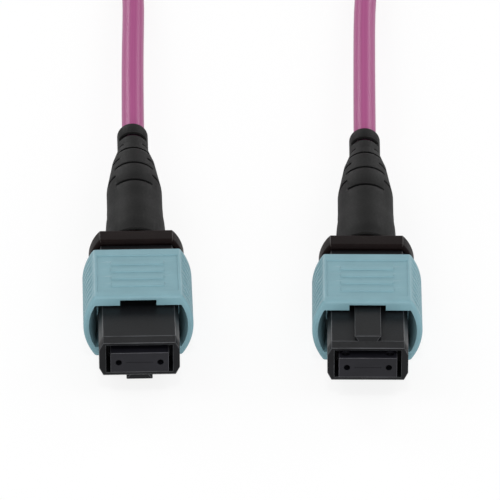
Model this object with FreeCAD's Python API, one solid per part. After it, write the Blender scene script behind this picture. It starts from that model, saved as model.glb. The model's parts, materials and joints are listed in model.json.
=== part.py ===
import FreeCAD, Part
import math
import os

from FreeCAD import Placement, Rotation, Vector

# A patch cord of twelve fibres with a push-pull plug on each end. Millimetres, +Z up, floor at z = 0.
# Each plug is drawn along +Y from the middle of its ferrule's face, key side up, and then laid in its place.

# Ferrule and the fibres in it
ferrule_width = 6.4
ferrule_height = 2.45
ferrule_length = 8.0
ferrule_flange_length = 2.0
ferrule_flange_step = 0.3
guide_hole_diameter = 0.7
guide_hole_pitch = 4.6
glue_window_width = 3.4
glue_window_length = 1.5
glue_window_setback = 3.2
mark_diameter = 1.0
mark_depth = 0.08
mark_pitch = 4.9
mark_setback = 1.0
fibre_count = 12
fibre_pitch = 0.25
fibre_diameter = 0.125
fibre_facets = 6
fibre_play = 0.004
ribbon_thickness = 0.32
ribbon_edge = 0.05
ribbon_play = 0.05
ribbon_slack = 1.2
ferrule_boot_width = 3.4
ferrule_boot_height = 1.3
ferrule_boot_depth = 2.6
ferrule_boot_tail = 0.5
ferrule_boot_play = 0.05

# Keeper and oval spring behind the ferrule
keeper_length = 2.0
keeper_pin_play = 0.03
ferrule_spring_length = 6.8
ferrule_spring_wire = 0.45
ferrule_spring_turns = 4
ferrule_spring_steps = 10
spring_end_play = 0.05

# Inner housing
nose_setback = 0.8
nose_bevel_length = 0.7
nose_bevel_height = 0.5
pocket_side_space = 0.48
pocket_top_space = 0.48
throat_length = 1.8
throat_play = 0.1
stop_play = 0.05
cavity_play = 0.2
housing_side_wall = 0.75
housing_top_wall = 0.78
housing_corner_width = 0.45
housing_corner_height = 0.9
key_width = 2.9
key_height = 0.6
key_length = 10.9
key_tip_width = 2.05
key_tip_length = 0.1
key_root = 0.3
latch_recess_setback = 4.4
latch_recess_length = 2.4
latch_recess_height = 2.6
latch_recess_depth = 0.3

# Sleeve that slides on the housing, and its two springs
sleeve_setback = 7.7
sleeve_length = 10.45
sleeve_play = 0.18
latch_space = 1.05
mouth_corner_space = 0.33
sleeve_side_wall = 0.62
sleeve_flat_step = 0.05
sleeve_rim_bevel = 0.2
keyway_side_space = 0.57
keyway_top_space = 0.245
keyway_roof = 0.5
panel_depth = 0.2
panel_front_border = 1.2
panel_rear_border = 1.5
panel_side_border = 0.35
grip_bar_count = 4
grip_bar_length = 0.7
side_groove_count = 6
side_groove_length = 0.55
side_groove_depth = 0.3
side_groove_border = 1.2
tab_setback = 3.6
tab_length = 1.2
tab_height = 1.2
tab_play = 0.1
side_spring_diameter = 1.2
side_spring_wire = 0.22
side_spring_length = 4.3
side_spring_turns = 4
side_spring_steps = 6
side_spring_play = 0.08
spring_groove_depth = 0.35
spring_groove_play = 0.15

# Back body, crimp ring and bend relief
insert_length = 4.2
insert_play = 0.1
hook_setback = 0.9
hook_length = 1.3
hook_height = 1.6
hook_play = 0.1
back_flange_length = 2.7
back_flange_step = 0.75
crimp_tube_wall = 0.5
crimp_tube_length = 5.0
crimp_play = 0.1
crimp_ring_wall = 0.3
crimp_sides = 6
boot_length = 26.4
boot_play = 0.1
boot_base_radius = 3.42
boot_base_length = 1.5
boot_shoulder_radius = 3.17
boot_shoulder_length = 8.0
boot_bell_start = 13.2
boot_bell_share = 0.64
boot_bell_radius = 2.48
boot_tip_radius = 1.78
boot_tip_length = 4.1
boot_slot_width = 0.5
boot_slot_start = 10.82
boot_slot_end_setback = 2.48
boot_slot_count = 7
boot_slot_floor = 2.35
boot_tip_slot_floor = 0.8

# Cable, coil and tie
cable_diameter = 2.6
bend_share = 0.45
turn_gap = 0.05
turns_across = 4
turns_high = 2
coil_outer_turn_radius = 19.5
coil_x = 0.0
coil_y = 104.2
coil_margin = 0.1
tie_thickness = 0.6
tie_width = 7.0

# Where the plugs lie: the ferrule's face, the turn to the left, and the roll about the plug's own axis
plug_spacing = 25.1
plug_middle_x = 0.2
plug_a_y = -24.5
plug_a_yaw = 1.72
plug_a_roll = 180.0
plug_b_y = -25.6
plug_b_yaw = -0.35
plug_b_roll = 0.0

# The cable's routes from the points where they leave the plugs' axes to the coil
straight_reach = 58.0
lead_a_route = [(-14.25, 75.0, 1.35), (-19.0, 96.0, 1.9)]
lead_b_route = [(13.78, 74.0, 1.35), (19.0, 96.0, 4.55)]

# Sizes and places that follow from the values above
flange_width = ferrule_width + 2 * ferrule_flange_step
flange_height = ferrule_height + 2 * ferrule_flange_step
cavity_width = flange_width + 2 * cavity_play
cavity_height = flange_height + 2 * cavity_play
housing_width = cavity_width + 2 * housing_side_wall
housing_height = cavity_height + 2 * housing_top_wall
mouth_width = housing_width + 2 * latch_space
mouth_height = housing_height + 2 * sleeve_play
mouth_flat = housing_width + 2 * mouth_corner_space
keyway_top = housing_height / 2 + key_height + keyway_top_space
sleeve_width = mouth_width + 2 * sleeve_side_wall
sleeve_height = 2 * (keyway_top + keyway_roof)
sleeve_flat = mouth_flat + 2 * sleeve_flat_step
ribbon_width = fibre_count * fibre_pitch + 2 * ribbon_edge
crimp_tube_radius = ribbon_width / 2 + ribbon_play + crimp_tube_wall
crimp_ring_radius = (crimp_tube_radius + crimp_play + crimp_ring_wall) / math.cos(math.pi / crimp_sides)

shoulder_y = ferrule_length - ferrule_flange_length - stop_play
keeper_end_y = ferrule_length + keeper_length
spring_seat_y = keeper_end_y + ferrule_spring_length
back_flange_y = spring_seat_y + insert_length
boot_y = back_flange_y + back_flange_length
crimp_tube_end_y = boot_y + crimp_tube_length
jacket_y = crimp_tube_end_y + crimp_play
boot_end_y = boot_y + boot_length
boot_bell_end = boot_length - boot_tip_length
boot_bell_middle = boot_bell_start + boot_bell_share * (boot_bell_end - boot_bell_start)
boot_slot_pitch = (boot_length - boot_slot_end_setback - boot_slot_start) / (boot_slot_count - 1)
tab_y = sleeve_setback + tab_setback
side_spring_y = tab_y + tab_length
spring_groove_end_y = side_spring_y + side_spring_length
groove_floor_x = housing_width / 2 - spring_groove_depth
axis_height = sleeve_height / 2
turn_pitch = cable_diameter + turn_gap
plug_a_x = plug_middle_x - plug_spacing / 2
plug_b_x = plug_middle_x + plug_spacing / 2


def slab(width, height, front, rear, x=0.0, z=0.0):
    """A square-edged block along the plug, centred on x and z."""
    corner = Vector(x - width / 2, front, z - height / 2)
    return Part.makeBox(width, rear - front, height, corner)


def rod(radius, front, rear, x=0.0, z=0.0):
    """A round bar along the plug."""
    return Part.makeCylinder(radius, rear - front, Vector(x, front, z), Vector(0, 1, 0))


def cut_outline(height, y):
    """The housing's outline across the plug at y: a rectangle with its corners cut off."""
    side_x = housing_width / 2
    top_x = side_x - housing_corner_width
    top_z = height / 2
    side_z = top_z - housing_corner_height
    corners = [(top_x, top_z), (side_x, side_z), (side_x, -side_z), (top_x, -top_z),
               (-top_x, -top_z), (-side_x, -side_z), (-side_x, side_z), (-top_x, top_z), (top_x, top_z)]
    return Part.makePolygon([Vector(x, y, z) for x, z in corners])


def upright(width, bottom, top, y):
    """A rectangle that stands across the plug at y."""
    side = width / 2
    corners = [(-side, bottom), (side, bottom), (side, top), (-side, top), (-side, bottom)]
    return Part.makePolygon([Vector(x, y, z) for x, z in corners])


def barrel(width, height, flat, front, rear):
    """The plug's barrel section: flat above and below, with bowed sides."""
    upper_right = Vector(flat / 2, front, height / 2)
    lower_right = Vector(flat / 2, front, -height / 2)
    lower_left = Vector(-flat / 2, front, -height / 2)
    upper_left = Vector(-flat / 2, front, height / 2)
    outline = Part.Wire([
        Part.makeLine(upper_left, upper_right),
        Part.Arc(upper_right, Vector(width / 2, front, 0), lower_right).toShape(),
        Part.makeLine(lower_right, lower_left),
        Part.Arc(lower_left, Vector(-width / 2, front, 0), upper_left).toShape(),
    ])
    return Part.Face(outline).extrude(Vector(0, rear - front, 0))


def turned(profile):
    """A solid turned about the plug's axis from a closed outline of edges in the XY plane."""
    face = Part.Face(Part.Wire(profile))
    return face.revolve(Vector(0, 0, 0), Vector(0, 1, 0), 360)


def polyline(points):
    """Straight edges from one (radius, y) point to the next."""
    corners = [Vector(radius, y, 0) for radius, y in points]
    return [Part.makeLine(first, second) for first, second in zip(corners, corners[1:])]


def fibre_row(diameter, front, rear):
    """A row of fine bars, one for each fibre."""
    bars = []
    for number in range(fibre_count):
        x = (number - (fibre_count - 1) / 2) * fibre_pitch
        corners = []
        for step in range(fibre_facets + 1):
            angle = 2 * math.pi * step / fibre_facets
            corners.append(Vector(x + diameter / 2 * math.cos(angle), front, diameter / 2 * math.sin(angle)))
        bars.append(Part.Face(Part.makePolygon(corners)).extrude(Vector(0, rear - front, 0)))
    return bars


def spring(points, wire):
    """Square wire along a chain of straight steps."""
    start = points[0]
    direction = (points[1] - points[0]).normalize()
    across = direction.cross(Vector(0, 1, 0)).normalize()
    up = direction.cross(across).normalize()
    corners = []
    for sa, su in ((1, 1), (1, -1), (-1, -1), (-1, 1), (1, 1)):
        corners.append(start + across * (sa * wire / 2) + up * (su * wire / 2))
    path = Part.makePolygon(points)
    return path.makePipeShell([Part.makePolygon(corners)], True, False, 1)


def ferrule():
    """Block with a rear flange, two guide holes, a row of fibre holes and a glue window on top."""
    flange_y = ferrule_length - ferrule_flange_length
    pocket_y = ferrule_length - ferrule_boot_depth
    body = slab(ferrule_width, ferrule_height, 0, ferrule_length)
    body = body.fuse(slab(flange_width, flange_height, flange_y, ferrule_length))
    cuts = [rod(guide_hole_diameter / 2, 0, ferrule_length, side * guide_hole_pitch / 2) for side in (-1, 1)]
    cuts += fibre_row(fibre_diameter + 2 * fibre_play, 0, glue_window_setback)
    window_height = ferrule_height / 2 + ribbon_thickness
    window_z = (ferrule_height / 2 - ribbon_thickness) / 2
    window_end = glue_window_setback + glue_window_length
    cuts.append(slab(glue_window_width, window_height, glue_window_setback, window_end, z=window_z))
    cuts.append(slab(ribbon_width, ribbon_thickness + 2 * ribbon_play, glue_window_setback, pocket_y))
    pocket_width = ferrule_boot_width + 2 * ferrule_boot_play
    pocket_height = ferrule_boot_height + 2 * ferrule_boot_play
    cuts.append(slab(pocket_width, pocket_height, pocket_y, ferrule_length))
    for side in (-1, 1):
        foot = Vector(side * mark_pitch / 2, mark_setback, ferrule_height / 2 - mark_depth)
        cuts.append(Part.makeCylinder(mark_diameter / 2, 2 * mark_depth, foot))
    return body.cut(cuts).removeSplitter()


def fibre_ribbon():
    """Flat ribbon from the crimp tube to the ferrule, with its fibres bare in front."""
    ribbon_y = ferrule_length - ferrule_boot_depth
    ribbon = slab(ribbon_width, ribbon_thickness, ribbon_y, jacket_y - ribbon_slack)
    return ribbon.fuse(fibre_row(fibre_diameter, 0, ribbon_y)).removeSplitter()


def ferrule_boot():
    """Soft block in the ferrule's back and the keeper, with a slot for the ribbon."""
    front = ferrule_length - ferrule_boot_depth
    rear = keeper_end_y + ferrule_boot_tail
    block = slab(ferrule_boot_width, ferrule_boot_height, front, rear)
    slot = slab(ribbon_width + 2 * ribbon_play, ribbon_thickness + 2 * ribbon_play, front, rear)
    return block.cut(slot)


def pin_keeper():
    """Plate behind the ferrule, with an open notch for each guide pin and a slot for the soft block."""
    plate = slab(flange_width, flange_height, ferrule_length, keeper_end_y)
    notch_height = guide_hole_diameter + 2 * keeper_pin_play
    notch_reach = flange_width - guide_hole_pitch + notch_height
    cuts = [slab(ferrule_boot_width + 2 * ferrule_boot_play, ferrule_boot_height + 2 * ferrule_boot_play,
                 ferrule_length, keeper_end_y)]
    for side in (-1, 1):
        edge = side * flange_width / 2
        cuts.append(slab(notch_reach, notch_height, ferrule_length, keeper_end_y, x=edge))
    return plate.cut(cuts).removeSplitter()


def ferrule_spring():
    """Oval coil spring between the keeper and the back body."""
    half_width = (flange_width - ferrule_spring_wire) / 2
    half_height = (flange_height - ferrule_spring_wire) / 2
    end_gap = ferrule_spring_wire / 2 + spring_end_play
    rise = ferrule_spring_length - 2 * end_gap
    steps = ferrule_spring_turns * ferrule_spring_steps
    points = []
    for step in range(steps + 1):
        angle = 2 * math.pi * step / ferrule_spring_steps
        y = keeper_end_y + end_gap + rise * step / steps
        points.append(Vector(half_width * math.cos(angle), y, half_height * math.sin(angle)))
    return spring(points, ferrule_spring_wire)


def plug_housing():
    """Inner housing: bevelled open nose, key, latch recesses, spring grooves and hook windows."""
    bevel_end_y = nose_setback + nose_bevel_length
    nose_height = housing_height - 2 * nose_bevel_height
    body = Part.makeLoft([
        cut_outline(nose_height, nose_setback),
        cut_outline(housing_height, bevel_end_y),
        cut_outline(housing_height, back_flange_y),
    ], True, True)
    top = housing_height / 2
    key = Part.makeLoft([
        upright(key_tip_width, top - key_root, top, bevel_end_y),
        upright(key_width, top - key_root, top + key_height, bevel_end_y + key_tip_length),
        upright(key_width, top - key_root, top + key_height, bevel_end_y + key_length),
    ], True, True)
    body = body.fuse(key)

    throat_y = shoulder_y - throat_length
    cuts = [slab(ferrule_width + 2 * pocket_side_space, ferrule_height + 2 * pocket_top_space,
                 nose_setback, throat_y)]
    cuts.append(slab(ferrule_width + 2 * throat_play, ferrule_height + 2 * throat_play,
                     throat_y, shoulder_y))
    cuts.append(slab(cavity_width, cavity_height, shoulder_y, back_flange_y))
    window_y = spring_seat_y + hook_setback - hook_play
    window_end_y = spring_seat_y + hook_setback + hook_length + hook_play
    for side in (-1, 1):
        edge = side * housing_width / 2
        cuts.append(slab(2 * latch_recess_depth, latch_recess_height, latch_recess_setback,
                         latch_recess_setback + latch_recess_length, x=edge))
        cuts.append(slab(2 * spring_groove_depth, side_spring_diameter + 2 * spring_groove_play,
                         tab_y - stop_play, spring_groove_end_y, x=edge))
        cuts.append(slab(2 * housing_side_wall, hook_height + 2 * hook_play, window_y, window_end_y, x=edge))
    return body.cut(cuts).removeSplitter()


def coupling_sleeve():
    """Sliding sleeve: barrel shell with keyways, framed panels, grip grooves and two spring tabs."""
    front = sleeve_setback
    rear = sleeve_setback + sleeve_length
    shell = barrel(sleeve_width, sleeve_height, sleeve_flat, front, rear)
    rims = [edge for edge in shell.Edges if edge.BoundBox.YLength < sleeve_length / 2]
    shell = shell.makeChamfer(sleeve_rim_bevel, rims)

    cuts = [barrel(mouth_width, mouth_height, mouth_flat, front, rear)]
    cuts.append(slab(key_width + 2 * keyway_side_space, 2 * keyway_top, front, rear))
    panel_front = front + panel_front_border
    panel_rear = rear - panel_rear_border
    panel_width = sleeve_flat - 2 * panel_side_border
    bar_pitch = (panel_rear - panel_front) / (grip_bar_count + 1)
    for side in (-1, 1):
        panel = slab(panel_width, 2 * panel_depth, panel_front, panel_rear, z=side * sleeve_height / 2)
        bars = []
        for number in range(grip_bar_count):
            bar_y = panel_front + (number + 1) * bar_pitch
            bars.append(slab(panel_width - 2 * bar_pitch, 2 * panel_depth, bar_y - grip_bar_length / 2,
                             bar_y + grip_bar_length / 2, z=side * sleeve_height / 2))
        cuts.append(panel.cut(bars))
    groove_pitch = (sleeve_length - 2 * side_groove_border - side_groove_length) / (side_groove_count - 1)
    for number in range(side_groove_count):
        groove_y = front + side_groove_border + number * groove_pitch
        groove_end_y = groove_y + side_groove_length
        for side in (-1, 1):
            cuts.append(slab(2 * side_groove_depth, sleeve_height, groove_y, groove_end_y,
                             x=side * sleeve_width / 2))
    sleeve = shell.cut(cuts)

    tab_inner_x = groove_floor_x + tab_play
    tab_outer_x = mouth_width / 2 + sleeve_side_wall / 2
    for side in (-1, 1):
        sleeve = sleeve.fuse(slab(tab_outer_x - tab_inner_x, tab_height, tab_y, tab_y + tab_length,
                                  x=side * (tab_inner_x + tab_outer_x) / 2))
    return sleeve.removeSplitter()


def coupling_springs():
    """Two small coil springs in the housing's side grooves, behind the sleeve's tabs."""
    radius = (side_spring_diameter - side_spring_wire) / 2
    axis_x = groove_floor_x + side_spring_play + side_spring_diameter / 2
    end_gap = side_spring_wire / 2 + spring_end_play
    rise = side_spring_length - 2 * end_gap
    steps = side_spring_turns * side_spring_steps
    springs = []
    for side in (-1, 1):
        points = []
        for step in range(steps + 1):
            angle = 2 * math.pi * step / side_spring_steps
            y = side_spring_y + end_gap + rise * step / steps
            points.append(Vector(side * axis_x + radius * math.cos(angle), y, radius * math.sin(angle)))
        springs.append(spring(points, side_spring_wire))
    return Part.makeCompound(springs)


def back_body():
    """Rear body: insert with two hooks, barrel flange and crimp tube, with a way through for the ribbon."""
    insert_width = cavity_width - 2 * insert_play
    insert_height = cavity_height - 2 * insert_play
    body = slab(insert_width, insert_height, spring_seat_y, back_flange_y)
    hook_y = spring_seat_y + hook_setback
    body = body.fuse([
        slab(housing_width - 2 * hook_play, hook_height, hook_y, hook_y + hook_length),
        barrel(sleeve_width - 2 * back_flange_step, sleeve_height - 2 * back_flange_step,
               sleeve_flat - 2 * back_flange_step, back_flange_y, boot_y),
        rod(crimp_tube_radius, boot_y, crimp_tube_end_y),
    ])
    passage_height = ferrule_boot_height + 2 * ferrule_boot_play
    passage = slab(ribbon_width + 2 * ribbon_play, passage_height, spring_seat_y, crimp_tube_end_y)
    return body.cut(passage).removeSplitter()


def crimp_ring():
    """Metal ring, pressed to a hexagon, that clamps the cable's yarn on the crimp tube."""
    corners = []
    for step in range(crimp_sides + 1):
        angle = 2 * math.pi * step / crimp_sides
        corners.append(Vector(crimp_ring_radius * math.cos(angle), 0, crimp_ring_radius * math.sin(angle)))
    ring = Part.Face(Part.makePolygon(corners)).extrude(Vector(0, crimp_tube_length - crimp_play, 0))
    ring.translate(Vector(0, boot_y + crimp_play, 0))
    return ring.cut(rod(crimp_tube_radius + crimp_play, boot_y, boot_end_y))


def strain_boot():
    """Bend relief: base, shoulder and bell turned in one, with slots above and below, left and right."""
    bore = cable_diameter / 2 + boot_play
    ring_bore = crimp_ring_radius + boot_play
    bore_y = jacket_y + boot_play - boot_y
    outline = [(ring_bore, bore_y), (ring_bore, 0), (boot_base_radius, 0),
               (boot_base_radius, boot_base_length),
               (boot_shoulder_radius, boot_base_length + boot_shoulder_length),
               (boot_shoulder_radius, boot_bell_start), (boot_bell_radius, boot_bell_middle),
               (boot_tip_radius, boot_bell_end), (boot_tip_radius, boot_length), (bore, boot_length),
               (bore, bore_y), (ring_bore, bore_y)]
    boot = turned(polyline([(radius, boot_y + y) for radius, y in outline]))
    cuts = []
    for number in range(boot_slot_count):
        share = number / (boot_slot_count - 1)
        floor = boot_slot_floor + share * (boot_tip_slot_floor - boot_slot_floor)
        slot_y = boot_y + boot_slot_start + boot_slot_pitch * number
        slot_end_y = slot_y + boot_slot_width
        for side in (-1, 1):
            offset = side * (floor + boot_base_radius / 2)
            if number % 2 == 0:
                cuts.append(slab(2 * boot_base_radius, boot_base_radius, slot_y, slot_end_y, z=offset))
            else:
                cuts.append(slab(boot_base_radius, 2 * boot_base_radius, slot_y, slot_end_y, x=offset))
    return boot.cut(cuts)


def plug_place(x, y, yaw, roll):
    """Where a plug lies on the floor."""
    turn = Rotation(Vector(0, 0, 1), yaw).multiply(Rotation(Vector(0, 1, 0), roll))
    return Placement(Vector(x, y, axis_height), turn)


def tube(points, diameter, name):
    """Round tube along straight runs joined by tangent arcs as large as the runs allow."""
    pieces = []
    length = 0.0
    start = points[0]
    for before, corner, after in zip(points, points[1:], points[2:]):
        way_in = (corner - before).normalize()
        way_out = (after - corner).normalize()
        turn = way_in.getAngle(way_out)
        trim = bend_share * min((corner - before).Length, (after - corner).Length)
        radius = trim / math.tan(turn / 2)
        print(name, "bend radius", round(radius, 1))
        bend_start = corner - way_in * trim
        axis = way_in.cross(way_out).normalize()
        centre = bend_start + axis.cross(way_in) * radius
        disc = Part.Face(Part.Wire(Part.makeCircle(diameter / 2, bend_start, way_in)))
        pieces.append(Part.makeCylinder(diameter / 2, (bend_start - start).Length, start, way_in))
        pieces.append(disc.revolve(centre, axis, math.degrees(turn)))
        length += (bend_start - start).Length + radius * turn
        start = corner + way_out * trim
    last_run = points[-1] - start
    pieces.append(Part.makeCylinder(diameter / 2, last_run.Length, start, last_run))
    length += last_run.Length
    solid = pieces[0].fuse(pieces[1:])
    section = math.pi * diameter * diameter / 4
    print(name, "length", round(length, 2), "volume share", round(solid.Volume / (section * length), 4))
    return solid


def cable_lead(place, route, coil, name):
    """Cable from the crimp to the coil: along the plug's axis, down to the floor and to the coil's side."""
    points = [place.multVec(Vector(0, jacket_y, 0)), place.multVec(Vector(0, straight_reach, 0))]
    points += [Vector(*point) for point in route]
    return tube(points, cable_diameter, name).cut(coil)


def coil_ring(growth):
    """Outer shape of the wound cable, grown all round by the thickness of what wraps it."""
    outer = coil_outer_turn_radius + cable_diameter / 2 + coil_margin + growth
    inner = outer - (turns_across - 1) * turn_pitch - cable_diameter - 2 * (coil_margin + growth)
    bottom = tie_thickness - growth
    top = tie_thickness + cable_diameter + (turns_high - 1) * turn_pitch + coil_margin + growth
    foot = Vector(coil_x, coil_y, bottom)
    return Part.makeCylinder(outer, top - bottom, foot).cut(Part.makeCylinder(inner, top - bottom, foot))


def coil_tie(coil):
    """Plain strap round the coil's far side."""
    reach = 2 * coil_outer_turn_radius
    window = Part.makeBox(tie_width, reach, reach, Vector(coil_x - tie_width / 2, coil_y, 0))
    return coil_ring(tie_thickness).common(window).cut(coil)


plugs = {
    "a": plug_place(plug_a_x, plug_a_y, plug_a_yaw, plug_a_roll),
    "b": plug_place(plug_b_x, plug_b_y, plug_b_yaw, plug_b_roll),
}
plug_pieces = {
    "coupling_sleeve": coupling_sleeve(),
    "coupling_springs": coupling_springs(),
    "plug_housing": plug_housing(),
    "ferrule": ferrule(),
    "fibre_ribbon": fibre_ribbon(),
    "ferrule_boot": ferrule_boot(),
    "pin_keeper": pin_keeper(),
    "ferrule_spring": ferrule_spring(),
    "back_body": back_body(),
    "crimp_ring": crimp_ring(),
    "strain_boot": strain_boot(),
}
nodes = {}
for end, place in plugs.items():
    for piece, shape in plug_pieces.items():
        nodes[f"{piece}_{end}"] = shape.transformed(place.toMatrix(), True)
nodes["cable_coil"] = coil_ring(0.0)
nodes["coil_tie"] = coil_tie(nodes["cable_coil"])
nodes["cable_lead_a"] = cable_lead(plugs["a"], lead_a_route, nodes["cable_coil"], "cable_lead_a")
nodes["cable_lead_b"] = cable_lead(plugs["b"], lead_b_route, nodes["cable_coil"], "cable_lead_b")

os.makedirs("parts", exist_ok=True)
for node, shape in nodes.items():
    shape.exportStep(os.path.join("parts", node + ".step"))
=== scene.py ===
import json
import math

import bmesh
import bpy
from mathutils import Matrix, Vector


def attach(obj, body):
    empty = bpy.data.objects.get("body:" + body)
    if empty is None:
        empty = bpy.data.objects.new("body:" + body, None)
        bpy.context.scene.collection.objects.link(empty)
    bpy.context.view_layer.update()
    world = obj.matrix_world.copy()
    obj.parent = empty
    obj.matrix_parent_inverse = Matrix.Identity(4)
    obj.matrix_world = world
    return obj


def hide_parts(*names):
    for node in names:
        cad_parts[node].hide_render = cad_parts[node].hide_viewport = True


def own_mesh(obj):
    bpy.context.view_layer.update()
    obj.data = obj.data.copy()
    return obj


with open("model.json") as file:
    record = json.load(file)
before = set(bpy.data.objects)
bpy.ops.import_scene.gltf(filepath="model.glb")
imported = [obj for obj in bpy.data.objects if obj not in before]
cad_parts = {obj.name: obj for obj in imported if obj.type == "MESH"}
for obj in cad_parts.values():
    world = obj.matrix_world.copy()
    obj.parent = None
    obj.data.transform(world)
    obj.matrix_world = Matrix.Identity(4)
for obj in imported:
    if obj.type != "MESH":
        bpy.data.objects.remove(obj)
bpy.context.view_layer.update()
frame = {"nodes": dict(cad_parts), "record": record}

# Ferrules
# The block in the middle of each nose, moulded from a mineral-filled compound and polished flat in front.
# Two guide holes line it up with the block that it meets, and it floats on the spring behind it.

MM = 0.001
ENDS = ("a", "b")
SHARP_ANGLE = math.radians(32)
FLAT_ANGLE = math.radians(0.5)
WELD = 0.0005 * MM
NEAR = 0.01


def moulded(name, colour, drift, roughness, grain, depth, shine, metal=0.0):
    """Moulded finish: slow clouds of lighter and darker shade, under a fine grain in gloss and surface."""
    material = bpy.data.materials.new(name)
    material.use_nodes = True
    nodes = material.node_tree.nodes
    links = material.node_tree.links
    shader = nodes["Principled BSDF"]
    shader.inputs["Specular IOR Level"].default_value = shine
    shader.inputs["Metallic"].default_value = metal
    place = nodes.new("ShaderNodeTexCoord")

    clouds = nodes.new("ShaderNodeTexNoise")
    clouds.inputs["Scale"].default_value = 400
    clouds.inputs["Detail"].default_value = 3
    shades = nodes.new("ShaderNodeValToRGB")
    shades.color_ramp.elements[0].position = 0.3
    shades.color_ramp.elements[0].color = [part * (1 - drift) for part in colour] + [1]
    shades.color_ramp.elements[1].position = 0.7
    shades.color_ramp.elements[1].color = [part * (1 + drift) for part in colour] + [1]
    links.new(place.outputs["Object"], clouds.inputs["Vector"])
    links.new(clouds.outputs["Fac"], shades.inputs["Fac"])
    links.new(shades.outputs["Color"], shader.inputs["Base Color"])

    speckle = nodes.new("ShaderNodeTexNoise")
    speckle.inputs["Scale"].default_value = grain
    speckle.inputs["Detail"].default_value = 2
    gloss = nodes.new("ShaderNodeMapRange")
    gloss.inputs["To Min"].default_value = roughness * 0.85
    gloss.inputs["To Max"].default_value = roughness * 1.15
    bump = nodes.new("ShaderNodeBump")
    bump.inputs["Strength"].default_value = 0.5
    bump.inputs["Distance"].default_value = depth
    links.new(place.outputs["Object"], speckle.inputs["Vector"])
    links.new(speckle.outputs["Fac"], gloss.inputs["Value"])
    links.new(gloss.outputs["Result"], shader.inputs["Roughness"])
    links.new(speckle.outputs["Fac"], bump.inputs["Height"])
    links.new(bump.outputs["Normal"], shader.inputs["Normal"])
    return material


def rounded_copy(node, name, edge, finish, soften=None, shortest=0):
    """A moulding in the shape of a CAD node, with its flats made whole and its edges rounded and painted
    lighter as a highlight.

    finish is the material of its faces and the lighter one of its edges, a painted highlight. soften changes
    the shape before its edges.
    Where a shortest length is given, edges up to it stay sharp, and the flats keep the triangles round
    their fine holes."""
    mesh = bpy.data.meshes.new(name)
    shape = bmesh.new()
    shape.from_mesh(frame["nodes"][node].data)
    bmesh.ops.remove_doubles(shape, verts=shape.verts, dist=WELD)
    if not shortest:
        bmesh.ops.dissolve_limit(shape, angle_limit=FLAT_ANGLE, verts=shape.verts, edges=shape.edges)
    if soften:
        soften(shape)
    shape.normal_update()
    weights = shape.edges.layers.float.new("bevel_weight_edge")
    for line in shape.edges:
        sharp = len(line.link_faces) == 2 and line.calc_face_angle() > SHARP_ANGLE
        # Sharp convex edges longer than the shortest are rounded and take the edge finish, a painted
        # highlight.
        rounded_and_highlit = sharp and line.is_convex and line.calc_length() > shortest
        line[weights] = 1 if rounded_and_highlit else 0
        line.smooth = rounded_and_highlit or not sharp
    for face in shape.faces:
        face.smooth = True
    shape.to_mesh(mesh)
    shape.free()
    if "custom_normal" in mesh.attributes:
        mesh.attributes.remove(mesh.attributes["custom_normal"])
    mesh.materials.clear()
    for material in finish:
        mesh.materials.append(material)
    piece = bpy.data.objects.new(name, mesh)
    bpy.context.collection.objects.link(piece)
    bevel = piece.modifiers.new("rounded edges", "BEVEL")
    bevel.limit_method = "WEIGHT"
    bevel.width = edge
    bevel.segments = 2
    bevel.use_clamp_overlap = False
    # The bevel's faces take the second, lighter finish: a painted highlight along each rounded edge.
    bevel.material = 1
    piece.modifiers.new("even shading", "WEIGHTED_NORMAL").keep_sharp = True
    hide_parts(node)
    return piece


KEY_UP = {"a": -1, "b": 1}
MARK_REACH = 2.45
MARK_SETBACK = 1.0
MARK_RADIUS = 0.5
MARK_FLOOR = 1.145
MARK_WEAR = 0.16
MARK_WALL_TILT = 0.5
FERRULE_EDGE = 0.045 * MM
FINE_EDGE = 0.08 * MM


def plug_place(end):
    """A plug's own frame, from the ferrule's face: x across, y back along the cable, z to the key side."""
    mount = next(m for m in frame["record"]["mounts"] if m["name"] == f"plug_nose_{end}")
    back = -Vector(mount["axis"])
    key = Vector((0, 0, KEY_UP[end]))
    turn = Matrix((back.cross(key), back, key)).transposed().to_4x4()
    return Matrix.Translation(mount["pos_m"]) @ turn


def deepen_marks(end):
    """A way to sink the two round ejector marks on the key side a little further, with their walls painted
    lighter as a highlight.
    """
    place = plug_place(end)
    to_plug = place.inverted()

    def soften(shape):
        for vertex in shape.verts:
            spot = to_plug @ vertex.co / MM
            from_mark = math.hypot(abs(spot.x) - MARK_REACH, spot.y - MARK_SETBACK)
            if from_mark < MARK_RADIUS + NEAR and abs(spot.z - MARK_FLOOR) < NEAR:
                spot.z -= MARK_WEAR
                vertex.co = place @ (spot * MM)
                for face in vertex.link_faces:
                    # The marks' steep walls take the second, lighter finish: a painted highlight.
                    face.material_index = 1 if abs(face.normal.z) < MARK_WALL_TILT else 0
    return soften


ferrule_compound = moulded("ferrule_compound", (0.008, 0.008, 0.011), drift=0.15, roughness=0.3, grain=9000,
                           depth=0.003 * MM, shine=0.22)
# A lighter copy of the ferrule compound for its bevelled edges and the marks' walls: a painted highlight.
ferrule_edge_highlight = moulded("ferrule_edge_highlight", (0.05, 0.05, 0.058), drift=0.4, roughness=0.3, grain=9000,
                        depth=0.003 * MM, shine=0.3)
for end in ENDS:
    finish = (ferrule_compound, ferrule_edge_highlight)
    block = rounded_copy(f"ferrule_{end}", f"ferrule_block_{end}", FERRULE_EDGE, finish,
                         deepen_marks(end), FINE_EDGE)
    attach(block, f"ferrule_unit_{end}")

# Fibres
# Twelve glass fibres, bonded into a flat ribbon behind the ferrule and bare inside it.
# Their ends are polished with the ferrule's face, so they show there as a row of fine dots.


def dress(node, material):
    """Gives a CAD node that stays in sight its own finish."""
    for slot in frame["nodes"][node].material_slots:
        slot.material = material


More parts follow.
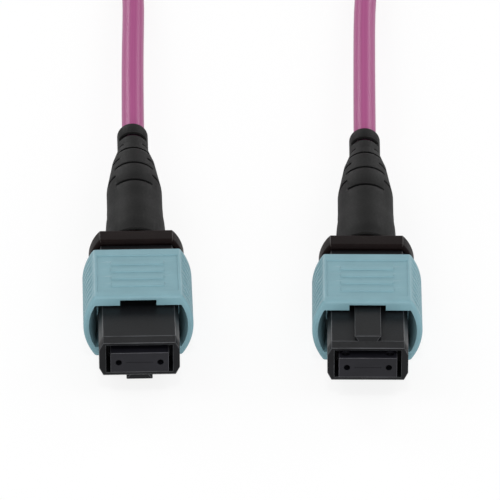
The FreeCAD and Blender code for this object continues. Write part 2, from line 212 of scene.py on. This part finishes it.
glass_fibre = moulded("glass_fibre", (0.002, 0.002, 0.003), drift=0.1, roughness=0.2, grain=20000,
                      depth=0.001 * MM, shine=0.02)
for end in ENDS:
    dress(f"fibre_ribbon_{end}", glass_fibre)

# Soft block and keeper behind each ferrule
# The soft elastomer block leads the ribbon into the ferrule without a sharp bend.
# The stamped steel keeper would hold guide pins, which these two plugs don't have.

soft_elastomer = moulded("soft_elastomer", (0.07, 0.07, 0.07), drift=0.1, roughness=0.7, grain=6000,
                         depth=0.006 * MM, shine=0.3)
stamped_steel = moulded("stamped_steel", (0.55, 0.55, 0.56), drift=0.05, roughness=0.35, grain=12000,
                        depth=0.002 * MM, shine=0.5, metal=1.0)
for end in ENDS:
    dress(f"ferrule_boot_{end}", soft_elastomer)
    dress(f"pin_keeper_{end}", stamped_steel)

# Springs
# An oval spring pushes the ferrule forward, and two small ones beside the housing push the sleeve forward.
# All are wound from drawn stainless wire and are squeezed between their seats when their piece moves back.

spring_steel = moulded("spring_steel", (0.6, 0.6, 0.61), drift=0.05, roughness=0.28, grain=15000,
                       depth=0.001 * MM, shine=0.5, metal=1.0)
SPRING_POINTS_PER_TURN = 24
OVAL_WIRE = 0.45 * MM
OVAL_TURNS = 6
SMALL_WIRE = 0.2 * MM
SMALL_TURNS = 9


def plug_box(node, end):
    """Lowest and highest corners of a CAD node in its plug's own frame."""
    to_plug = plug_place(end).inverted()
    points = [to_plug @ vertex.co for vertex in frame["nodes"][node].data.vertices]
    low = Vector([min(point[axis] for point in points) for axis in range(3)])
    high = Vector([max(point[axis] for point in points) for axis in range(3)])
    return low, high


def wound_wire(name, centre_x, half_width, half_height, front, rear, turns, wire, end):
    """Round wire wound on an oval from front to rear, with a closed turn at each end."""
    curve = bpy.data.curves.new(name, "CURVE")
    curve.dimensions = "3D"
    curve.bevel_depth = wire / 2
    curve.bevel_resolution = 2
    curve.use_fill_caps = True
    steps = round(turns * SPRING_POINTS_PER_TURN)
    line = curve.splines.new("POLY")
    line.points.add(steps)
    for step, point in enumerate(line.points):
        angle = 2 * math.pi * step / SPRING_POINTS_PER_TURN
        share = step / steps
        rise = share - math.sin(2 * math.pi * share) / (2 * math.pi)
        y = front + wire / 2 + (rear - front - wire) * rise
        spot = Vector((centre_x + half_width * math.cos(angle), y, half_height * math.sin(angle)))
        point.co = (plug_place(end) @ spot).to_4d()
    source = bpy.data.objects.new(name + "_line", curve)
    bpy.context.collection.objects.link(source)
    bpy.context.view_layer.update()
    mesh = bpy.data.meshes.new_from_object(source.evaluated_get(bpy.context.evaluated_depsgraph_get()))
    bpy.data.objects.remove(source)
    mesh.shade_smooth()
    mesh.materials.clear()
    mesh.materials.append(spring_steel)
    piece = bpy.data.objects.new(name, mesh)
    bpy.context.collection.objects.link(piece)
    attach(piece, "cord")
    return piece


def squeeze(piece):
    """Gives a spring a mesh of its own."""
    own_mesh(piece)


for end in ENDS:
    low, high = plug_box(f"ferrule_spring_{end}", end)
    half_width = (high.x - low.x - OVAL_WIRE) / 2
    half_height = (high.z - low.z - OVAL_WIRE) / 2
    oval = wound_wire(f"oval_spring_{end}", 0, half_width, half_height, low.y, high.y,
                      OVAL_TURNS, OVAL_WIRE, end)
    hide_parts(f"ferrule_spring_{end}")
    squeeze(oval)

    low, high = plug_box(f"coupling_springs_{end}", end)
    radius = (high.z - low.z - SMALL_WIRE) / 2
    for side, name in ((-1, "left"), (1, "right")):
        middle = side * (high.x - SMALL_WIRE / 2 - radius)
        small = wound_wire(f"sleeve_spring_{name}_{end}", middle, radius, radius, low.y, high.y,
                           SMALL_TURNS, SMALL_WIRE, end)
        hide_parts(f"coupling_springs_{end}")
        squeeze(small)

# Inner housings
# The black housing round each ferrule is one moulding: an open nose with a bevelled lip, the key on one
# side, grooves for the sleeve's springs along its flanks, and windows that the back body's hooks snap into.

housing_plastic = moulded("housing_plastic", (0.005, 0.0054, 0.0064), drift=0.12, roughness=0.42, grain=5000,
                          depth=0.014 * MM, shine=0.15)
# A lighter copy of the housing plastic for its bevelled edges: a painted highlight.
housing_edge_highlight = moulded("housing_edge_highlight", (0.045, 0.047, 0.051), drift=0.5, roughness=0.4, grain=5000,
                        depth=0.006 * MM, shine=0.25)
KEY_FRONT = 1.5
KEY_SLOPE = 0.1
KEY_FOOT = 2.505
KEY_RISE = 0.6
KEY_TIP_HALF_WIDTH = 1.025
KEY_HALF_WIDTH = 1.45
KEY_CORNER_REACH = 0.7
KEY_SLACK = 0.001
HOUSING_EDGE = 0.05 * MM


def cut_key_corners(end):
    """A way to cut back the two lower corners of the key's front, which narrows towards the nose."""
    place = plug_place(end)
    to_plug = place.inverted()

    def soften(shape):
        for vertex in shape.verts:
            spot = to_plug @ vertex.co / MM
            share = (spot.z - KEY_FOOT) / KEY_RISE
            on_front = KEY_FRONT - KEY_SLACK < spot.y < KEY_FRONT + KEY_SLOPE + KEY_SLACK
            below_top = -NEAR < share < 1 - NEAR
            narrow = KEY_TIP_HALF_WIDTH + share * (KEY_HALF_WIDTH - KEY_TIP_HALF_WIDTH)
            if on_front and below_top and narrow < abs(spot.x) < KEY_HALF_WIDTH + NEAR:
                along = (abs(spot.x) - narrow) / (KEY_HALF_WIDTH - narrow)
                slope = KEY_SLOPE * share
                spot.y = KEY_FRONT + slope + along * (KEY_CORNER_REACH - slope) * (1 - share)
                vertex.co = place @ (spot * MM)
    return soften


for end in ENDS:
    finish = (housing_plastic, housing_edge_highlight)
    housing = rounded_copy(f"plug_housing_{end}", f"inner_housing_{end}", HOUSING_EDGE, finish,
                           cut_key_corners(end))
    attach(housing, "cord")

# Coupling sleeves
# The aqua sleeve slides on the housing and is pulled back to free the plug. It is one thin moulding with
# bowed flanks, ribbed for the fingers, and a sunk panel with raised bars above and below. Inside it has
# a keyway, a mouth that narrows inwards, and the tabs that push on its springs.

SLEEVE_HALF_FLAT = 4.83
SLEEVE_CORNER = 0.35
SLEEVE_RIM = 0.32
SLEEVE_SHARP_ANGLE = math.radians(50)
CORNER_STEPS = 6
FLANK_STEPS = 14
RIM_STEPS = 5
TOP_STEP = 1.5
MOUTH_HALF_WIDTH = 5.5
MOUTH_HALF_HEIGHT = 2.685
MOUTH_HALF_FLAT = 4.78
MOUTH_CORNER = 0.05
KEYWAY_HALF_WIDTH = 2.02
KEYWAY_TOP = 3.35
PANEL_HALF_WIDTH = 4.45
PANEL_BORDERS = (1.2, 1.5)
PANEL_DEPTH = 0.13
BAR_COUNT = 4
BAR_LENGTH = 0.7
BAR_HALF_WIDTH = 2.9
RIB_GROOVES = 9
RIB_BORDER = 1.2
RIB_GROOVE_LENGTH = 0.3
RIB_DEPTH = 0.11
RIB_RUN_IN = 2
WALL_SLOPE = 0.09
TAB_SIZE = (1.66, 1.2, 1.2)
TAB_PLACE = (4.99, 11.9)
LEAD_IN_HALF_WIDTH = 4.58
LEAD_IN = [(0.0, 0.0), (0.4, 0.27), (1.3, 0.58), (3.6, 1.0), (4.2, 0.0)]


def bowed_quarter(half_width, half_height, half_flat, corner, flat_steps):
    """A quarter of the bowed outline, from the middle of the top to the middle of the flank.

    Each point is its place (x, z), the way out of the surface, and how much of a rib it carries."""
    rise = half_width - half_flat
    radius = (half_height ** 2 + rise ** 2) / (2 * rise)
    centre = half_width - radius
    round_z = half_height - corner
    round_x = centre + math.sqrt((radius - corner) ** 2 - round_z ** 2)
    meeting = math.atan2(round_z, round_x - centre)
    points = [((x, half_height), (0, 1), 0) for x in flat_steps if x < round_x]
    for step in range(CORNER_STEPS + 1):
        angle = math.pi / 2 + (meeting - math.pi / 2) * step / CORNER_STEPS
        way = (math.cos(angle), math.sin(angle))
        points.append(((round_x + corner * way[0], round_z + corner * way[1]), way, 0))
    for step in range(1, FLANK_STEPS + 1):
        angle = meeting * (1 - step / FLANK_STEPS)
        way = (math.cos(angle), math.sin(angle))
        points.append(((centre + radius * way[0], radius * way[1]), way, min(1, step / RIB_RUN_IN)))
    return points


def whole_outline(quarter):
    """A quarter mirrored to the closed outline, clockwise from the middle of the top."""
    loop = []
    for sx, sz in ((1, 1), (1, -1), (-1, -1), (-1, 1)):
        part = [((sx * x, sz * z), (sx * wx, sz * wz), rib) for (x, z), (wx, wz), rib in quarter]
        loop += (part if sx == sz else part[::-1])[:-1]
    return loop


def trapeze(y, front, rear):
    """One between front and rear, falling to nothing over the slope of a moulded wall outside them."""
    return max(0, min(1, (y - front) / WALL_SLOPE + 1, (rear - y) / WALL_SLOPE + 1))


def sleeve_mesh(end):
    """The sleeve's skin: relief outside, both rims rounded over, the narrowing mouth and the spring tabs."""
    low, high = plug_box(f"coupling_sleeve_{end}", end)
    front, rear = low.y / MM, high.y / MM
    panel = (front + PANEL_BORDERS[0], rear - PANEL_BORDERS[1])
    pitch = (panel[1] - panel[0]) / (BAR_COUNT + 1)
    bars = []
    for number in range(BAR_COUNT):
        middle = panel[0] + (number + 1) * pitch
        bars.append((middle - BAR_LENGTH / 2, middle + BAR_LENGTH / 2))
    groove_pitch = (rear - front - 2 * RIB_BORDER) / (RIB_GROOVES - 1)
    grooves = []
    for number in range(RIB_GROOVES):
        middle = front + RIB_BORDER + number * groove_pitch
        grooves.append((middle - RIB_GROOVE_LENGTH / 2, middle + RIB_GROOVE_LENGTH / 2))
    stations = set()
    for near, far in [panel] + bars + grooves:
        stations |= {near - WALL_SLOPE, near, far, far + WALL_SLOPE}
    rows = [(y, 0) for y in stations if front + SLEEVE_RIM < y < rear - SLEEVE_RIM]
    for step in range(RIM_STEPS + 1):
        angle = math.pi / 2 * step / RIM_STEPS
        inset = SLEEVE_RIM * (1 - math.sin(angle))
        setback = SLEEVE_RIM * (1 - math.cos(angle))
        rows += [(front + setback, inset), (rear - setback, inset)]
    rows.sort()

    flat_steps = [0, TOP_STEP]
    for edge in (BAR_HALF_WIDTH, PANEL_HALF_WIDTH):
        flat_steps += [edge, edge + WALL_SLOPE]
    quarter = bowed_quarter(high.x / MM, high.z / MM, SLEEVE_HALF_FLAT, SLEEVE_CORNER, flat_steps)
    outline = whole_outline(quarter)
    mouth = [(KEYWAY_HALF_WIDTH, KEYWAY_TOP), (KEYWAY_HALF_WIDTH, MOUTH_HALF_HEIGHT)]
    side = bowed_quarter(MOUTH_HALF_WIDTH, MOUTH_HALF_HEIGHT, MOUTH_HALF_FLAT, MOUTH_CORNER, [])
    mouth += [place for place, way, rib in side]
    mouth += [(x, -z) for x, z in mouth[-2::-1]]
    mouth += [(-x, z) for x, z in reversed(mouth)]

    shape = bmesh.new()
    skin = []
    for y, inset in rows:
        ring = []
        for (x, z), (way_x, way_z), rib in outline:
            sunk = rib * RIB_DEPTH * max(trapeze(y, *groove) for groove in grooves)
            if abs(way_z) == 1:
                raised = max(trapeze(y, *bar) for bar in bars) * trapeze(abs(x), 0, BAR_HALF_WIDTH)
                on_panel = trapeze(y, *panel) * trapeze(abs(x), 0, PANEL_HALF_WIDTH)
                sunk = PANEL_DEPTH * on_panel * (1 - raised)
            ring.append(shape.verts.new((x - way_x * (inset + sunk), y, z - way_z * (inset + sunk))))
        skin.append(ring)
    inside = []
    for reach, share in LEAD_IN + [(rear - front, 0)]:
        ring = []
        for x, z in mouth:
            past = max(0, abs(x) - LEAD_IN_HALF_WIDTH) * share
            ring.append(shape.verts.new((x - math.copysign(past, x), front + reach, z)))
        inside.append(ring)
    for stack in (skin, inside):
        for ring, further in zip(stack, stack[1:]):
            for index in range(len(ring)):
                after = (index + 1) % len(ring)
                shape.faces.new((ring[index], ring[after], further[after], further[index]))
    for rim in (0, -1):
        edges = []
        for ring in (skin[rim], inside[rim]):
            edges += [shape.edges.get(pair) for pair in zip(ring, ring[1:] + ring[:1])]
        bmesh.ops.triangle_fill(shape, edges=edges, use_beauty=True)
    for sign in (-1, 1):
        tab_middle = Matrix.Translation((sign * TAB_PLACE[0], TAB_PLACE[1], 0))
        bmesh.ops.create_cube(shape, size=1, matrix=tab_middle @ Matrix.Diagonal(TAB_SIZE).to_4x4())
    bmesh.ops.recalc_face_normals(shape, faces=shape.faces)
    bmesh.ops.transform(shape, matrix=plug_place(end) @ Matrix.Scale(MM, 4), verts=shape.verts)
    mesh = bpy.data.meshes.new(f"aqua_sleeve_{end}")
    shape.to_mesh(mesh)
    shape.free()
    mesh.shade_smooth()
    mesh.set_sharp_from_angle(angle=SLEEVE_SHARP_ANGLE)
    return mesh


aqua_plastic = moulded("aqua_plastic", (0.178, 0.321, 0.366), drift=0.04, roughness=0.48, grain=4500,
                       depth=0.008 * MM, shine=0.3)
for end in ENDS:
    sleeve = bpy.data.objects.new(f"aqua_sleeve_{end}", sleeve_mesh(end))
    bpy.context.collection.objects.link(sleeve)
    sleeve.data.materials.append(aqua_plastic)
    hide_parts(f"coupling_sleeve_{end}")
    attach(sleeve, f"coupling_{end}")

# Back bodies and crimp rings
# The back body snaps into the housing, seats both kinds of spring and carries the crimp tube. The drawn
# metal ring, pressed to six flats, clamps the cable's yarn on that tube under the boot.

body_plastic = moulded("body_plastic", (0.0065, 0.0032, 0.003), drift=0.12, roughness=0.5, grain=5000,
                       depth=0.008 * MM, shine=0.06)
# A lighter copy of the body plastic for its bevelled edges: a painted highlight.
body_edge_highlight = moulded("body_edge_highlight", (0.03, 0.025, 0.024), drift=0.4, roughness=0.5, grain=5000,
                     depth=0.008 * MM, shine=0.2)
drawn_metal = moulded("drawn_metal", (0.66, 0.66, 0.67), drift=0.05, roughness=0.3, grain=9000,
                      depth=0.002 * MM, shine=0.5, metal=1.0)
FLANGE_FRONT = 21.0
FLANGE_REAR = 23.7
FLANGE_ROUND = 0.5
INSERT_HALF_WIDTH = 4.0
INSERT_HALF_HEIGHT = 3.0
ROUND_SEGMENTS = 4
BODY_EDGE = 0.04 * MM


def soft_rims(end, planes, outside, size):
    """A way to round the rims that lie across a plug in the given planes and outside a given outline."""
    to_plug = plug_place(end).inverted()

    def soften(shape):
        rims = []
        for edge in shape.edges:
            spots = [to_plug @ vertex.co / MM for vertex in edge.verts]
            on_plane = any(all(abs(spot.y - plane) < NEAR for spot in spots) for plane in planes)
            if on_plane and all(outside(spot.x, spot.z) for spot in spots):
                rims.append(edge)
        bmesh.ops.bevel(shape, geom=rims, offset=size * MM, segments=ROUND_SEGMENTS, profile=0.5,
                        affect="EDGES")
    return soften


def outside_insert(x, z):
    """Whether a point lies on the flange's rim, outside the insert and the crimp tube."""
    return abs(z) > INSERT_HALF_HEIGHT or abs(x) > INSERT_HALF_WIDTH


for end in ENDS:
    round_flange = soft_rims(end, (FLANGE_FRONT, FLANGE_REAR), outside_insert, FLANGE_ROUND)
    finish = (body_plastic, body_edge_highlight)
    back = rounded_copy(f"back_body_{end}", f"rear_body_{end}", BODY_EDGE, finish, round_flange)
    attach(back, "cord")
    dress(f"crimp_ring_{end}", drawn_metal)

# Bend reliefs
# The black boot is moulded from a soft elastomer and pushed over the crimp. Slots cut it into linked rings
# from the bell to the tip, so that it bends more easily the nearer it is to the bare cable.

boot_rubber = moulded("boot_rubber", (0.0105, 0.0105, 0.0105), drift=0.12, roughness=0.6, grain=3500,
                      depth=0.012 * MM, shine=0.06)
# A lighter copy of the boot rubber for its bevelled edges: a painted highlight.
boot_edge_highlight = moulded("boot_edge_highlight", (0.02, 0.02, 0.02), drift=0.3, roughness=0.6, grain=3500,
                     depth=0.012 * MM, shine=0.1)
BOOT_END = 50.1
LAST_SLOT = 47.62
LAST_SLOT_WIDENING = 0.35
BOOT_ROUND = 0.16
BOOT_EDGE = 0.03 * MM
BORE_LIMIT = 3.05
BASE_RIM_LIMIT = 3.1
TIP_RIM_LIMITS = (1.7, 1.9)
BOOT_FLARE = [(0.0, 3.62, 3.26), (1.2, 3.5, 3.32), (2.5, 3.43, 3.36), (4.6, 3.38, 3.38), (5.8, 3.33, 3.33),
              (6.8, 3.25, 3.25), (8.0, 3.19, 3.19)]


def outside_bore(x, z):
    """Whether a point lies on the boot's outer rim at its base or its tip."""
    radius = math.hypot(x, z)
    return radius > BASE_RIM_LIMIT or TIP_RIM_LIMITS[0] < radius < TIP_RIM_LIMITS[1]


def boot_shape(end):
    """A way to flare the boot's base ring by ring, widen its last slot and round its rims."""
    place = plug_place(end)
    to_plug = place.inverted()
    back = place.to_3x3() @ Vector((0, 1, 0))
    round_rims = soft_rims(end, (FLANGE_REAR, BOOT_END), outside_bore, BOOT_ROUND)

    def soften(shape):
        for reach, *_ in BOOT_FLARE[1:]:
            parts = shape.verts[:] + shape.edges[:] + shape.faces[:]
            spot = place @ Vector((0, (FLANGE_REAR + reach) * MM, 0))
            bmesh.ops.bisect_plane(shape, geom=parts, plane_co=spot, plane_no=back)
        for vertex in shape.verts:
            spot = to_plug @ vertex.co / MM
            here = math.hypot(spot.x, spot.z)
            for reach, half_width, half_height in BOOT_FLARE:
                if abs(spot.y - FLANGE_REAR - reach) < NEAR and here > BORE_LIMIT:
                    ring_spot = Vector((spot.x / here * half_width, spot.y, spot.z / here * half_height))
                    vertex.co = place @ (ring_spot * MM)
            if abs(spot.y - LAST_SLOT) < NEAR:
                vertex.co -= back * LAST_SLOT_WIDENING * MM
        round_rims(shape)
    return soften


for end in ENDS:
    finish = (boot_rubber, boot_edge_highlight)
    boot = rounded_copy(f"strain_boot_{end}", f"slotted_boot_{end}", BOOT_EDGE, finish, boot_shape(end))
    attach(boot, "cord")

# Cable
# One round cable with an extruded magenta-violet jacket over yarn and fibres. It runs from the crimp in one
# plug, along the floor to a coil tied up for storage, and back along the floor to the other plug.

CABLE_DIAMETER = 2.6 * MM
JACKET_START = 28.8 * MM
STRAIGHT_REACH = 58.0 * MM
LEAD_ROUTES = {
    "a": [(-14.25, 75.0, 1.35), (-19.0, 96.0, 1.9)],
    "b": [(13.78, 74.0, 1.35), (19.0, 96.0, 4.55)],
}
COIL_CENTRE = Vector((0.0, 104.2, 0.0)) * MM
COIL_RADII = [19.5 * MM, 16.85 * MM, 14.2 * MM, 11.55 * MM]
COIL_ROWS = [1.9 * MM, 4.55 * MM]
RISER_BULGE = 1.0 * MM
POINTS_PER_HALF_TURN = 8
DRAW_LINES = (12, 36, 1)


def lead_points(end):
    """The cable's points from the crimp to the coil."""
    points = [plug_place(end) @ Vector((0, reach, 0)) for reach in (JACKET_START, STRAIGHT_REACH)]
    return points + [Vector(point) * MM for point in LEAD_ROUTES[end]]


def coil_points():
    """The coil's turns: a strand keeps its place over the back and changes to the next over the front."""
    lower = [(radius, COIL_ROWS[0]) for radius in COIL_RADII]
    upper = [(radius, COIL_ROWS[1]) for radius in reversed(COIL_RADII)]
    strands = lower + upper
    widen = 1 / math.cos(math.pi / (2 * POINTS_PER_HALF_TURN))
    points = []
    for number, (radius, height) in enumerate(strands):
        for step in range(POINTS_PER_HALF_TURN + 1):
            angle = math.pi * (1 - step / POINTS_PER_HALF_TURN)
            points.append((radius, angle, height))
        if number + 1 == len(strands):
            continue
        next_radius, next_height = strands[number + 1]
        for step in range(1, POINTS_PER_HALF_TURN):
            share = step / POINTS_PER_HALF_TURN
            change = share * share * (3 - 2 * share)
            bulge = RISER_BULGE * math.sin(math.pi * share) if next_height != height else 0
            points.append((radius + (next_radius - radius) * change - bulge, -math.pi * share,
                           height + (next_height - height) * change))
    spots = []
    for radius, angle, height in points:
        reach = radius * widen
        spots.append(COIL_CENTRE + Vector((reach * math.cos(angle), reach * math.sin(angle), height)))
    return spots


def jacket_finish():
    """Extruded jacket: satin with a fine grain, and a colour that drifts in faint lines along the cable."""
    material = moulded("violet_jacket", (0.33, 0.073, 0.2), drift=0.07, roughness=0.3, grain=5000,
                       depth=0.003 * MM, shine=0.046)
    nodes = material.node_tree.nodes
    links = material.node_tree.links
    drawn_out = nodes.new("ShaderNodeMapping")
    drawn_out.inputs["Scale"].default_value = DRAW_LINES
    links.new(nodes["Texture Coordinate"].outputs["UV"], drawn_out.inputs["Vector"])
    links.new(drawn_out.outputs["Vector"], nodes["Noise Texture"].inputs["Vector"])
    nodes["Noise Texture"].inputs["Scale"].default_value = 1
    return material


route = lead_points("a") + coil_points() + lead_points("b")[::-1]
cable_curve = bpy.data.curves.new("cable", "CURVE")
cable_curve.dimensions = "3D"
cable_curve.bevel_depth = CABLE_DIAMETER / 2
cable_curve.bevel_resolution = 8
cable_curve.resolution_u = 8
cable_curve.use_fill_caps = True
line = cable_curve.splines.new("NURBS")
line.points.add(len(route) - 1)
for point, spot in zip(line.points, route):
    point.co = spot.to_4d()
line.order_u = 3
line.use_endpoint_u = True
cable_curve.materials.append(jacket_finish())
cable = bpy.data.objects.new("cable", cable_curve)
bpy.context.collection.objects.link(cable)
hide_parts("cable_lead_a", "cable_lead_b", "cable_coil")
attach(cable, "cord")

# Coil tie
# A plain strap of black woven nylon, wrapped once round the coil's far side.
# It is only there for storage and carries no print.

THREADS_PER_MM = 2.2
WAVE_UNIT = 20


def woven(name, colour):
    """Plain weave: crossing rows of threads raise and lower the surface, and the hollows are painted darker
    as shade.
    """
    material = moulded(name, colour, drift=0.2, roughness=0.8, grain=3000,
                       depth=0.12 * MM, shine=0.2)
    nodes = material.node_tree.nodes
    links = material.node_tree.links
    height = None
    for direction in ("X", "Y", "Z"):
        threads = nodes.new("ShaderNodeTexWave")
        threads.bands_direction = direction
        threads.inputs["Scale"].default_value = THREADS_PER_MM / MM / WAVE_UNIT * math.pi
        links.new(nodes["Texture Coordinate"].outputs["Object"], threads.inputs["Vector"])
        if height is None:
            height = threads.outputs["Fac"]
            continue
        over = nodes.new("ShaderNodeMath")
        over.operation = "MULTIPLY"
        links.new(height, over.inputs[0])
        links.new(threads.outputs["Fac"], over.inputs[1])
        height = over.outputs["Value"]
    links.new(height, nodes["Bump"].inputs["Height"])
    # The same height darkens the colour in the hollows: painted shade.
    links.new(height, nodes["Color Ramp"].inputs["Fac"])
    return material


dress("coil_tie", woven("woven_nylon", (0.014, 0.014, 0.014)))

# Floor
# A plain white table under the cord, with the matt surface of paper. The camera and reflections see it
# nearly as bright as the room, and it keeps a faint shadow under each plug.

FLOOR_SIZE = 3.0
PAPER_SHADE = 0.9
PAPER_ROUGHNESS = 0.9
GLOW_SHARE = 0.85

floor_mesh = bpy.data.meshes.new("floor")
half = FLOOR_SIZE / 2
corners = [(-half, -half, 0), (half, -half, 0), (half, half, 0), (-half, half, 0)]
floor_mesh.from_pydata(corners, [], [(0, 1, 2, 3)])
floor = bpy.data.objects.new("floor", floor_mesh)
bpy.context.collection.objects.link(floor)
paper = bpy.data.materials.new("white_paper")
paper.use_nodes = True
nodes = paper.node_tree.nodes
links = paper.node_tree.links
nodes["Principled BSDF"].inputs["Base Color"].default_value = (PAPER_SHADE, PAPER_SHADE, PAPER_SHADE, 1)
nodes["Principled BSDF"].inputs["Roughness"].default_value = PAPER_ROUGHNESS
glow = nodes.new("ShaderNodeEmission")
glow.inputs["Strength"].default_value = 1.0
rays = nodes.new("ShaderNodeLightPath")
seen = nodes.new("ShaderNodeMath")
seen.operation = "MAXIMUM"
seen_too = nodes.new("ShaderNodeMath")
seen_too.operation = "MAXIMUM"
part = nodes.new("ShaderNodeMath")
part.operation = "MULTIPLY"
part.inputs[1].default_value = GLOW_SHARE
mix = nodes.new("ShaderNodeMixShader")
links.new(rays.outputs["Is Camera Ray"], seen.inputs[0])
links.new(rays.outputs["Is Glossy Ray"], seen.inputs[1])
links.new(seen.outputs["Value"], seen_too.inputs[0])
links.new(rays.outputs["Is Transmission Ray"], seen_too.inputs[1])
links.new(seen_too.outputs["Value"], part.inputs[0])
links.new(part.outputs["Value"], mix.inputs["Fac"])
links.new(nodes["Principled BSDF"].outputs["BSDF"], mix.inputs[1])
links.new(glow.outputs["Emission"], mix.inputs[2])
links.new(mix.outputs["Shader"], nodes["Material Output"].inputs["Surface"])
floor_mesh.materials.append(paper)

# Lamps
# A soft box in front, one on each side and one behind light the black mouldings evenly, and a small one
# overhead lights the bevelled noses. Two strips behind draw a light band along each side of the cable.

ROOM_LIGHT = 0.4


def soft_box(name, spot, target, width, length, power):
    """A rectangular soft box that faces a point."""
    lamp = bpy.data.lights.new(name, "AREA")
    lamp.shape = "RECTANGLE"
    lamp.size = width
    lamp.size_y = length
    lamp.energy = power
    holder = bpy.data.objects.new(name, lamp)
    holder.location = spot
    holder.rotation_euler = (Vector(target) - Vector(spot)).to_track_quat("-Z", "Y").to_euler()
    bpy.context.collection.objects.link(holder)


soft_box("top_box", (0, -0.19, 0.9), (0, 0, 0), width=0.14, length=0.14, power=1.5)
soft_box("back_box", (0, 0.8, 0.48), (0, 0, 0), width=0.7, length=0.3, power=0.35)
soft_box("left_box", (-0.55, 0.05, 0.38), (0, 0, 0), width=0.35, length=0.8, power=1.15)
soft_box("right_box", (0.55, 0.05, 0.38), (0, 0, 0), width=0.35, length=0.8, power=1.1)
soft_box("front_box", (0.05, -0.85, 0.24), (0, 0, 0), width=0.6, length=0.3, power=4.6)
soft_box("back_left_strip", (-0.4, 0.75, 0.3), (0, 0.03, 0), width=0.3, length=0.4, power=2.2)
soft_box("back_right_strip", (0.4, 0.75, 0.3), (0, 0.03, 0), width=0.3, length=0.4, power=1.75)

room = bpy.data.worlds.new("white_room")
room.use_nodes = True
room.node_tree.nodes["Background"].inputs["Color"].default_value = (1, 1, 1, 1)
room.node_tree.nodes["Background"].inputs["Strength"].default_value = ROOM_LIGHT
bpy.context.scene.world = room

# Camera
# In front of the plugs and above them, at the photograph's angle. Its place and lens come from the fit
# of the ferrules, housings and sleeves to the picture.

IMAGE_WIDTH = 500
FOCAL_PIXELS = 7200
CAMERA_PLACE = Vector((-0.21, -699.4, 418.8)) * MM
CAMERA_TILT = 30.69
SENSOR_WIDTH = 36
NEAREST_SEEN = 0.01

lens = bpy.data.cameras.new("camera")
lens.sensor_width = SENSOR_WIDTH
lens.lens = FOCAL_PIXELS * SENSOR_WIDTH / IMAGE_WIDTH
lens.clip_start = NEAREST_SEEN
camera = bpy.data.objects.new("camera", lens)
camera.location = CAMERA_PLACE
camera.rotation_euler = (math.radians(90 - CAMERA_TILT), 0, 0)
bpy.context.collection.objects.link(camera)
bpy.context.scene.camera = camera
bpy.context.scene.view_settings.view_transform = "Standard"
